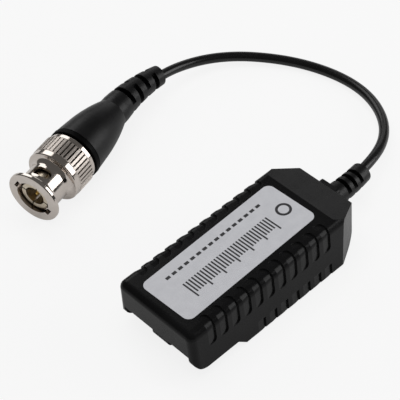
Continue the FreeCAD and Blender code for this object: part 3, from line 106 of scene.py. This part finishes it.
# The camera, solved from the case's edges and notches in the photograph
PICTURE_PIXELS = 400
FOCAL_PIXELS = 1529.1
SENSOR = 36.0
CAMERA_PLACE = Vector((-0.160838, -0.185916, 0.291377))
CAMERA_RIGHT = Vector((0.7258015, -0.6838084, -0.0749545)).normalized()
CAMERA_UP = Vector((0.5367944, 0.4948547, 0.6833525)).normalized()
NEAREST = 0.02
FARTHEST = 20.0

# The floor and the light
FLOOR_REACH = 1.5
FLOOR_HEIGHT = -0.0002
FLOOR_COLOUR = (0.68, 0.68, 0.68)
FLOOR_GLOW = 0.85
FLOOR_GLOW_IN_GLOSS = 0.2
SKY_COLOUR = (1.0, 0.98, 0.95)
SKY_STRENGTH = 0.11
LIT_PLACE = Vector((0.0, 0.03, 0.0))

# Materials: most noise lies between the first two values, and the others say how much
# smoother an edge is, how much rougher the knurl is, and how far the painted shade in grooves
# reaches
NOISE_LOW = 0.3
NOISE_HIGH = 0.7
EDGE_SHINE = 0.08
KNURL_DULLNESS = 0.32
GROOVE_REACH = 0.0006


def on_plug(mm):
    """The point on the plug's axis that far behind its front face."""
    return FRONT + PLUG * (mm / 1000)


def along_plug(point):
    """How far along the plug's axis a point lies from the origin."""
    return point.dot(PLUG)


def add_object(name, data):
    made = bpy.data.objects.new(name, data)
    scene.collection.objects.link(made)
    return made


def mesh_object(name, work):
    """An object from a bmesh, which is freed."""
    mesh = bpy.data.meshes.new(name)
    work.to_mesh(mesh)
    work.free()
    return add_object(name, mesh)


def aim_camera():
    data = bpy.data.cameras.new("view")
    camera = add_object("view", data)
    data.sensor_width = SENSOR
    data.lens = SENSOR * FOCAL_PIXELS / PICTURE_PIXELS
    data.clip_start = NEAREST
    data.clip_end = FARTHEST
    back = CAMERA_RIGHT.cross(CAMERA_UP).normalized()
    up = back.cross(CAMERA_RIGHT).normalized()
    place = Matrix((CAMERA_RIGHT, up, back)).transposed().to_4x4()
    place.translation = CAMERA_PLACE
    camera.matrix_world = place
    scene.camera = camera


aim_camera()


class Paint:
    """A small builder of node materials."""

    def __init__(self, name):
        self.material = bpy.data.materials.new(name)
        self.material.use_nodes = True
        self.tree = self.material.node_tree
        self.shader = self.tree.nodes["Principled BSDF"]
        self.place = self.node("ShaderNodeTexCoord").outputs["Object"]

    def node(self, kind, **settings):
        made = self.tree.nodes.new(kind)
        for key, value in settings.items():
            setattr(made, key, value)
        return made

    def join(self, source, target):
        self.tree.links.new(source, target)

    def noise(self, scale, detail=3.0, roughness=0.55, place=None):
        made = self.node("ShaderNodeTexNoise")
        made.inputs["Scale"].default_value = scale
        made.inputs["Detail"].default_value = detail
        made.inputs["Roughness"].default_value = roughness
        self.join(place or self.place, made.inputs["Vector"])
        return made.outputs["Fac"]

    def remap(self, source, low, high, to_low, to_high):
        """A value carried from one range over to another, and held at its ends."""
        made = self.node("ShaderNodeMapRange")
        self.join(source, made.inputs["Value"])
        stops = {"From Min": low, "From Max": high, "To Min": to_low, "To Max": to_high}
        for key, value in stops.items():
            made.inputs[key].default_value = value
        return made.outputs["Result"]

    def swing(self, noise, to_low, to_high):
        """A noise spread between two values."""
        return self.remap(noise, NOISE_LOW, NOISE_HIGH, to_low, to_high)

    def ramp(self, source, stops):
        made = self.node("ShaderNodeValToRGB")
        self.join(source, made.inputs["Fac"])
        band = made.color_ramp
        while len(band.elements) < len(stops):
            band.elements.new(0.5)
        for element, (where, colour) in zip(band.elements, stops):
            element.position = where
            element.color = (*colour, 1.0)
        return made.outputs["Color"]

    def mix(self, factor, first, second):
        made = self.node("ShaderNodeMix", data_type="RGBA")
        self.join(factor, made.inputs["Factor"])
        self.join(first, made.inputs["A"])
        self.join(second, made.inputs["B"])
        return made.outputs["Result"]

    def calc(self, kind, first, second):
        """One step of arithmetic on two values, each a number or a socket."""
        made = self.node("ShaderNodeMath", operation=kind)
        for socket, value in zip(made.inputs, (first, second)):
            if isinstance(value, bpy.types.NodeSocket):
                self.join(value, socket)
            else:
                socket.default_value = value
        return made.outputs[0]

    def rounded(self, radius):
        """The normal with its edges rounded."""
        made = self.node("ShaderNodeBevel", samples=6)
        made.inputs["Radius"].default_value = radius
        return made.outputs["Normal"]

    def bump(self, height, strength, distance, rounding=0.0):
        made = self.node("ShaderNodeBump")
        made.inputs["Strength"].default_value = strength
        made.inputs["Distance"].default_value = distance
        self.join(height, made.inputs["Height"])
        if rounding:
            self.join(self.rounded(rounding), made.inputs["Normal"])
        self.join(made.outputs["Normal"], self.shader.inputs["Normal"])

    def edge(self, radius):
        """Nought on open faces, rising towards a sharp edge."""
        rounded = self.rounded(radius)
        true = self.node("ShaderNodeNewGeometry")
        match = self.node("ShaderNodeVectorMath", operation="DOT_PRODUCT")
        self.join(rounded, match.inputs[0])
        self.join(true.outputs["Normal"], match.inputs[1])
        return self.calc("SUBTRACT", 1.0, match.outputs["Value"])

    def hollow(self, reach):
        """One in the open, falling in narrow grooves and corners."""
        made = self.node("ShaderNodeAmbientOcclusion", samples=8)
        made.inputs["Distance"].default_value = reach
        return made.outputs["AO"]

    def set(self, **values):
        for key, value in values.items():
            self.shader.inputs[key.replace("_", " ")].default_value = value

    def split(self, vector):
        made = self.node("ShaderNodeSeparateXYZ")
        self.join(vector, made.inputs["Vector"])
        return made.outputs

    def turned(self):
        """Coordinates along the plug's axis alone, for marks that ring it."""
        spin = self.node("ShaderNodeMapping", vector_type="POINT")
        spin.inputs["Rotation"].default_value = (0.0, 0.0, -HEADING)
        self.join(self.place, spin.inputs["Vector"])
        line = self.node("ShaderNodeCombineXYZ")
        self.join(self.split(spin.outputs["Vector"])["X"], line.inputs["X"])
        return line.outputs["Vector"]

    def between(self, low, high):
        """One on the part of the plug between two places along its axis, and nought elsewhere."""
        along = self.split(self.turned())["X"]
        return self.calc("MULTIPLY", self.calc("GREATER_THAN", along, low),
                        self.calc("LESS_THAN", along, high))


def moulded_plastic(name, dark, pale, rough, grain, rounding=0.0, gloss=0.5, highlight_on_rubbed_edge=None):
    """Injection-moulded plastic: spark-eroded grain, slow flow marks, and edges made smoother,
    with a paler colour painted on them as a highlight when one is given.
    """
    p = Paint(name)
    flow = p.noise(scale=55.0, detail=4.0, roughness=0.6)
    colour = p.ramp(flow, [(0.3, dark), (0.75, pale)])
    fine = p.noise(grain, detail=2.0, roughness=0.5)
    patch = p.noise(scale=160.0, detail=3.0, roughness=0.6)
    satin = p.calc("ADD", p.swing(fine, -0.05, 0.05), p.swing(patch, rough - 0.04, rough + 0.05))
    if highlight_on_rubbed_edge:
        # Painted highlight: sharp edges are lightened towards a paler colour, and they are also
        # made smoother
        wear_and_highlight = p.remap(p.edge(rounding), 0.02, 0.2, 0.0, 1.0)
        colour = p.mix(wear_and_highlight, colour, p.ramp(flow, [(0.3, highlight_on_rubbed_edge), (0.75, highlight_on_rubbed_edge)]))
        satin = p.calc("SUBTRACT", satin, p.calc("MULTIPLY", wear_and_highlight, EDGE_SHINE))
    p.join(colour, p.shader.inputs["Base Color"])
    p.join(satin, p.shader.inputs["Roughness"])
    p.bump(fine, strength=0.35, distance=0.00002, rounding=rounding)
    p.set(Specular_IOR_Level=gloss)
    return p.material


def soft_vinyl(name, dark, pale, rough, grain=2600.0, gloss=0.3):
    """Soft moulded vinyl: a faintly uneven skin with a low sheen."""
    p = Paint(name)
    wander = p.noise(scale=90.0, detail=4.0, roughness=0.6)
    p.join(p.ramp(wander, [(0.3, dark), (0.75, pale)]), p.shader.inputs["Base Color"])
    fine = p.noise(grain, detail=3.0, roughness=0.6)
    p.join(p.swing(fine, rough - 0.05, rough + 0.07), p.shader.inputs["Roughness"])
    skin = p.calc("ADD", fine, p.calc("MULTIPLY", wander, 2.0))
    p.bump(skin, strength=0.25, distance=0.00003)
    p.set(Specular_IOR_Level=gloss)
    return p.material


def plated(name, colour, shade, rough, turned=True, groove_shade=None, knurl=None):
    """Plated metal with fine marks, which ring the plug's axis if it was turned. The groove shade
    is a darker colour painted into its grooves as shade, and knurl the two ends of a rougher
    stretch of the plug."""
    p = Paint(name)
    lines = p.noise(scale=9000.0, detail=2.0, roughness=0.7, place=p.turned() if turned else None)
    cloud = p.noise(scale=320.0, detail=3.0, roughness=0.6)
    plating = p.ramp(cloud, [(0.25, shade), (0.7, colour)])
    if groove_shade:
        # Painted shade: the grooves are darkened towards the groove shade colour as far as they are
        # enclosed
        open_share = p.remap(p.hollow(reach=GROOVE_REACH), 0.45, 0.92, 0.0, 1.0)
        plating = p.mix(open_share, p.ramp(cloud, [(0.3, groove_shade), (0.7, groove_shade)]), plating)
    p.join(plating, p.shader.inputs["Base Color"])
    sheen = p.calc("ADD", p.swing(lines, -0.03, 0.05), p.swing(cloud, rough - 0.02, rough + 0.04))
    if knurl:
        sheen = p.calc("ADD", sheen, p.calc("MULTIPLY", p.between(*knurl), KNURL_DULLNESS))
    p.join(sheen, p.shader.inputs["Roughness"])
    p.bump(lines, strength=0.18, distance=0.000012)
    p.set(Metallic=1.0)
    return p.material


def board_laminate():
    """Glass-weave laminate under a green solder mask."""
    p = Paint("board_laminate")
    weave = p.node("ShaderNodeTexChecker")
    weave.inputs["Scale"].default_value = 2200.0
    p.join(p.place, weave.inputs["Vector"])
    cloud = p.noise(scale=240.0)
    mask = p.ramp(cloud, [(0.3, (0.006, 0.06, 0.025)), (0.7, (0.012, 0.095, 0.04))])
    p.join(mask, p.shader.inputs["Base Color"])
    p.join(p.swing(cloud, 0.22, 0.34), p.shader.inputs["Roughness"])
    p.bump(weave.outputs["Fac"], strength=0.15, distance=0.00002)
    return p.material


def banded_resistor():
    """Beige lacquer with plain colour bands round the body, which lies along Y."""
    p = Paint("banded_resistor")
    low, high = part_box("line_resistor")
    along = p.remap(p.split(p.place)["Y"], low.y, high.y, 0.0, 1.0)
    beige = (0.45, 0.33, 0.19)
    brown = (0.25, 0.08, 0.03)
    black = (0.02, 0.02, 0.02)
    ochre = (0.5, 0.35, 0.08)
    colour = p.ramp(along, [(0.0, beige), (0.2, brown), (0.28, beige), (0.4, black),
                            (0.48, beige), (0.72, ochre), (0.8, beige)])
    colour.node.color_ramp.interpolation = "CONSTANT"
    p.join(colour, p.shader.inputs["Base Color"])
    fine = p.noise(scale=1500.0)
    p.join(p.swing(fine, 0.22, 0.34), p.shader.inputs["Roughness"])
    p.bump(fine, strength=0.15, distance=0.00002)
    return p.material


def label_paper():
    """Pale grey printed film: faint mottle, satin lacquer and paper fibre under it."""
    p = Paint("label_paper")
    mottle = p.noise(scale=420.0, detail=5.0, roughness=0.65)
    film = p.ramp(mottle, [(0.3, (0.52, 0.525, 0.555)), (0.7, (0.57, 0.575, 0.605))])
    p.join(film, p.shader.inputs["Base Color"])
    fibre = p.noise(scale=3800.0, detail=3.0, roughness=0.6)
    p.join(p.swing(fibre, 0.42, 0.54), p.shader.inputs["Roughness"])
    p.bump(fibre, strength=0.12, distance=0.00002)
    return p.material


def print_ink():
    """Dark ink with the slight unevenness of a small thermal print."""
    p = Paint("print_ink")
    speckle = p.noise(scale=5200.0, detail=3.0, roughness=0.7)
    ink = p.ramp(speckle, [(0.28, (0.018, 0.018, 0.02)), (0.62, (0.03, 0.03, 0.033)),
                           (0.78, (0.09, 0.09, 0.095))])
    p.join(ink, p.shader.inputs["Base Color"])
    p.join(p.swing(speckle, 0.38, 0.5), p.shader.inputs["Roughness"])
    p.bump(speckle, strength=0.1, distance=0.00001)
    return p.material


# The case's paler edge colour is a painted highlight
case_plastic = moulded_plastic(
    "case_plastic", dark=(0.004, 0.004, 0.0043), pale=(0.008, 0.008, 0.0083), rough=0.23,
    grain=5200.0, rounding=0.00016, gloss=0.12, highlight_on_rubbed_edge=(0.02, 0.02, 0.0205))
cover_plastic = moulded_plastic(
    "cover_plastic", dark=(0.005, 0.005, 0.0053), pale=(0.009, 0.009, 0.0093), rough=0.38,
    grain=5200.0, gloss=0.11)
boot_vinyl = soft_vinyl(
    "boot_vinyl", dark=(0.003, 0.003, 0.0033), pale=(0.006, 0.006, 0.0064), rough=0.36, gloss=0.3)
# The lip's deeper black is partly painted shade behind the nut
shaded_lip_vinyl = soft_vinyl(
    "shaded_lip_vinyl", dark=(0.0012, 0.0012, 0.0013), pale=(0.0022, 0.0022, 0.0024), rough=0.45,
    gloss=0.06)
jacket_vinyl = soft_vinyl(
    "jacket_vinyl", dark=(0.003, 0.003, 0.0032), pale=(0.006, 0.006, 0.0063), rough=0.24,
    grain=3400.0, gloss=0.4)
nickel = plated(
    "nickel", colour=(0.72, 0.66, 0.61), shade=(0.63, 0.57, 0.52), rough=0.10,
    groove_shade=(0.10, 0.085, 0.075),
    knurl=(along_plug(on_plug(KNURL_FRONT)), along_plug(on_plug(KNURL_BACK))))
inner_nickel = plated(
    "inner_nickel", colour=(0.74, 0.66, 0.54), shade=(0.62, 0.53, 0.40), rough=0.3)
gold = plated("gold", colour=(0.95, 0.66, 0.20), shade=(0.84, 0.54, 0.14), rough=0.28)
zinc = plated("zinc", colour=(0.66, 0.67, 0.68), shade=(0.55, 0.55, 0.56), rough=0.3, turned=False)
tinned = plated(
    "tinned", colour=(0.74, 0.72, 0.66), shade=(0.62, 0.58, 0.5), rough=0.32, turned=False)
copper = plated(
    "copper", colour=(0.72, 0.30, 0.12), shade=(0.55, 0.2, 0.08), rough=0.25, turned=False)
terminal_green = moulded_plastic(
    "terminal_green", dark=(0.012, 0.12, 0.045), pale=(0.02, 0.16, 0.065), rough=0.4, grain=4200.0)
dielectric = moulded_plastic(
    "dielectric", dark=(0.62, 0.61, 0.57), pale=(0.74, 0.73, 0.69), rough=0.45, grain=3000.0)
ferrite = moulded_plastic(
    "ferrite", dark=(0.018, 0.045, 0.03), pale=(0.03, 0.07, 0.045), rough=0.5, grain=2600.0,
    rounding=0.0003)
glazed = moulded_plastic(
    "glazed", dark=(0.5, 0.49, 0.46), pale=(0.64, 0.63, 0.6), rough=0.2, grain=1500.0)
dipped_yellow = moulded_plastic(
    "dipped_yellow", dark=(0.42, 0.24, 0.02), pale=(0.55, 0.33, 0.035), rough=0.25, grain=1300.0)
dipped_blue = moulded_plastic(
    "dipped_blue", dark=(0.01, 0.05, 0.2), pale=(0.018, 0.08, 0.28), rough=0.25, grain=1300.0)
gasket_rubber = soft_vinyl(
    "gasket_rubber", dark=(0.012, 0.012, 0.012), pale=(0.02, 0.02, 0.02), rough=0.6)

finish_of = {
    "top_shell": case_plastic,
    "base_cover": cover_plastic,
    "cover_screws": zinc,
    "label": label_paper(),
    "terminal_block": terminal_green,
    "wire_clamp_left": tinned,
    "wire_clamp_right": tinned,
    "terminal_screw_left": zinc,
    "terminal_screw_right": zinc,
    "circuit_board": board_laminate(),
    "ring_core": ferrite,
    "primary_winding": copper,
    "secondary_winding": copper,
    "surge_arrester": glazed,
    "line_fuse_left": dipped_yellow,
    "line_fuse_right": dipped_yellow,
    "coupling_capacitor": dipped_blue,
    "line_resistor": banded_resistor(),
    "coax_core_tail": copper,
    "coax_braid_tail": tinned,
    "cable_gland": boot_vinyl,
    "plug_boot": boot_vinyl,
    "crimp_ferrule": inner_nickel,
    "plug_barrel": inner_nickel,
    "insulator": dielectric,
    "centre_pin": gold,
    "gasket": gasket_rubber,
    "thrust_washer": zinc,
    "retaining_ring": zinc,
    "coupling_nut": nickel,
}
for node_name, material in finish_of.items():
    data = nodes[node_name].data
    data.materials.clear()
    data.materials.append(material)
    for face in data.polygons:
        face.material_index = 0

# The boot's lip behind the nut is smoother and deeper black than its grip: a darker vinyl of its
# own, made deeper still as painted shade where it sits behind the nut
boot = nodes["plug_boot"].data
boot.materials.append(shaded_lip_vinyl)
for face in boot.polygons:
    if along_plug(face.center) < along_plug(on_plug(LIP_BACK)):
        face.material_index = 1


def bowed_washer(steps=72):
    """The spring washer: a flat ring bent to a bow along the plug's axis."""
    work = bmesh.new()
    corners = ((SPRING_INNER, 0), (SPRING_OUTER, 0), (SPRING_OUTER, 1), (SPRING_INNER, 1))
    sections = []
    for index in range(steps):
        angle = 2 * math.pi * index / steps
        out = SIDE * math.cos(angle) + Vector((0.0, 0.0, math.sin(angle)))
        section = []
        for radius, back in corners:
            sag = (radius * math.sin(angle) / SPRING_OUTER) ** 2
            bow = (SPRING_HEIGHT - SPRING_SHEET) * (1 - sag)
            middle = on_plug(SPRING_FRONT + bow + SPRING_SHEET * back)
            section.append(work.verts.new(middle + out * radius / 1000))
        sections.append(section)
    for index, section in enumerate(sections):
        following = sections[(index + 1) % steps]
        for corner in range(4):
            ahead = (corner + 1) % 4
            work.faces.new((section[corner], section[ahead], following[ahead], following[corner]))
    bmesh.ops.recalc_face_normals(work, faces=work.faces)
    return mesh_object("spring", work)


# It stands for the CAD washer, because it flattens between the barrel and the thrust washer
# as the nut slides towards the plug's mouth
spring = bowed_washer()
spring.data.materials.append(zinc)
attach(spring, "balun")
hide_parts("spring_washer")
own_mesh(spring)


def cable(points):
    """A smooth spline through the gland and round to the crimp."""
    curve = bpy.data.curves.new("coax", "CURVE")
    curve.dimensions = "3D"
    spline = curve.splines.new("NURBS")
    spline.points.add(len(points) - 1)
    for control, where in zip(spline.points, points):
        control.co = (*where, 1.0)
    spline.order_u = 3
    spline.use_endpoint_u = True
    spline.resolution_u = 24
    curve.bevel_depth = CABLE_RADIUS
    curve.bevel_resolution = 8
    curve.use_fill_caps = True
    return add_object("coax", curve)


# The route of the part's source, with the four points of the loop moved to follow the
# photograph
points = [Vector(point) for point in CABLE_POINTS]
points += [on_plug(CABLE_IN_RELIEF), on_plug(CABLE_IN_CRIMP)]
coax = cable(points)
coax.data.materials.append(jacket_vinyl)
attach(coax, "balun")
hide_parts("coax_cable")


def on_label(x, y):
    """The point of the print at x along and y across the label."""
    along = Vector((math.cos(LABEL_TURN), math.sin(LABEL_TURN), 0.0))
    across = Vector((-math.sin(LABEL_TURN), math.cos(LABEL_TURN), 0.0))
    return LABEL_MIDDLE + along * x + across * y + Vector((0.0, 0.0, INK_HEIGHT))


def plain_block(work, x, y, wide, tall):
    """A flat printed block, its middle at x, y on the label."""
    corners = [(-wide, -tall), (wide, -tall), (wide, tall), (-wide, tall)]
    work.faces.new([work.verts.new(on_label(x + a / 2, y + b / 2)) for a, b in corners])


def plain_ring(work, x, y, outer, inner, steps=40):
    """A flat printed ring."""
    loops = []
    for radius in (outer, inner):
        loop = []
        for index in range(steps):
            angle = 2 * math.pi * index / steps
            point = on_label(x + radius * math.cos(angle), y + radius * math.sin(angle))
            loop.append(work.verts.new(point))
        loops.append(loop)
    for index in range(steps):
        following = (index + 1) % steps
        work.faces.new([loops[0][index], loops[0][following], loops[1][following], loops[1][index]])


def plain_print():
    """A scale of ticks that hang from one line, a row of blocks and a ring, which say nothing."""
    work = bmesh.new()
    for index in range(TICKS):
        tall = TICK_HEIGHT if index % TALL_TICK_EVERY else TALL_TICK_HEIGHT
        across = TICKS_ACROSS + (TALL_TICK_HEIGHT - tall) / 2
        plain_block(work, TICK_START + index * TICK_PITCH, across, TICK_WIDTH, tall)
    for index in range(BLOCKS):
        along = BLOCK_START + index * BLOCK_PITCH
        plain_block(work, along, BLOCKS_ACROSS, BLOCK_WIDTH, BLOCK_HEIGHT)
    plain_ring(work, *RING_PLACE, RING_OUTER, RING_INNER)
    return mesh_object("label_print", work)


label_print = plain_print()
label_print.data.materials.append(print_ink())
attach(label_print, "balun")


def ground():
    """A pale floor, partly lit and partly glowing, so that it reads as white and keeps a faint
    shadow."""
    p = Paint("ground")
    p.set(Roughness=0.9, Specular_IOR_Level=0.0, Base_Color=(*FLOOR_COLOUR, 1.0))
    glow = p.node("ShaderNodeEmission")
    glow.inputs["Strength"].default_value = 1.0
    path = p.node("ShaderNodeLightPath")
    mirrored = p.calc("MAXIMUM", path.outputs["Is Glossy Ray"], path.outputs["Is Transmission Ray"])
    share = p.calc("ADD", p.calc("MULTIPLY", path.outputs["Is Camera Ray"], FLOOR_GLOW),
                  p.calc("MULTIPLY", mirrored, FLOOR_GLOW_IN_GLOSS))
    blend = p.node("ShaderNodeMixShader")
    p.join(share, blend.inputs[0])
    p.join(p.shader.outputs[0], blend.inputs[1])
    p.join(glow.outputs[0], blend.inputs[2])
    p.join(blend.outputs[0], p.tree.nodes["Material Output"].inputs["Surface"])
    return p.material


def pale_floor():
    mesh = bpy.data.meshes.new("floor")
    sides = [(-1, -1), (1, -1), (1, 1), (-1, 1)]
    corners = [(x * FLOOR_REACH, y * FLOOR_REACH, 0) for x, y in sides]
    mesh.from_pydata(corners, [], [(0, 1, 2, 3)])
    mesh.materials.append(ground())
    made = add_object("floor", mesh)
    made.location.z = FLOOR_HEIGHT
    return made


floor = pale_floor()

world = bpy.data.worlds.new("studio")
scene.world = world
world.use_nodes = True
sky = world.node_tree.nodes["Background"]
sky.inputs["Strength"].default_value = SKY_STRENGTH
sky.inputs["Color"].default_value = (*SKY_COLOUR, 1.0)


def soft_box(name, azimuth, elevation, distance, wide, tall, glow):
    """A rectangular soft box that faces the object; glow is how bright it looks."""
    data = bpy.data.lights.new(name, "AREA")
    data.shape = "RECTANGLE"
    data.size = wide
    data.size_y = tall
    data.energy = glow * math.pi * wide * tall
    lamp = add_object(name, data)
    turn = math.radians(azimuth)
    rise = math.radians(elevation)
    level = math.cos(rise)
    away = Vector((math.cos(turn) * level, math.sin(turn) * level, math.sin(rise)))
    lamp.rotation_euler = away.to_track_quat("Z", "Y").to_euler()
    lamp.location = LIT_PLACE + away * distance
    return lamp


# Three boxes that the nickel and the case mirror as in the photograph, and a fill that they
# don't mirror
soft_box("back", azimuth=74.0, elevation=36.0, distance=0.65, wide=0.36, tall=0.40, glow=1.6)
soft_box("right", azimuth=-42.0, elevation=21.0, distance=0.6, wide=0.30, tall=0.42, glow=3.2)
soft_box("far", azimuth=35.0, elevation=18.0, distance=0.7, wide=0.40, tall=0.22, glow=0.8)
fill = soft_box("top", azimuth=0.0, elevation=89.0, distance=0.8, wide=0.75, tall=0.75, glow=2.4)
fill.visible_glossy = False
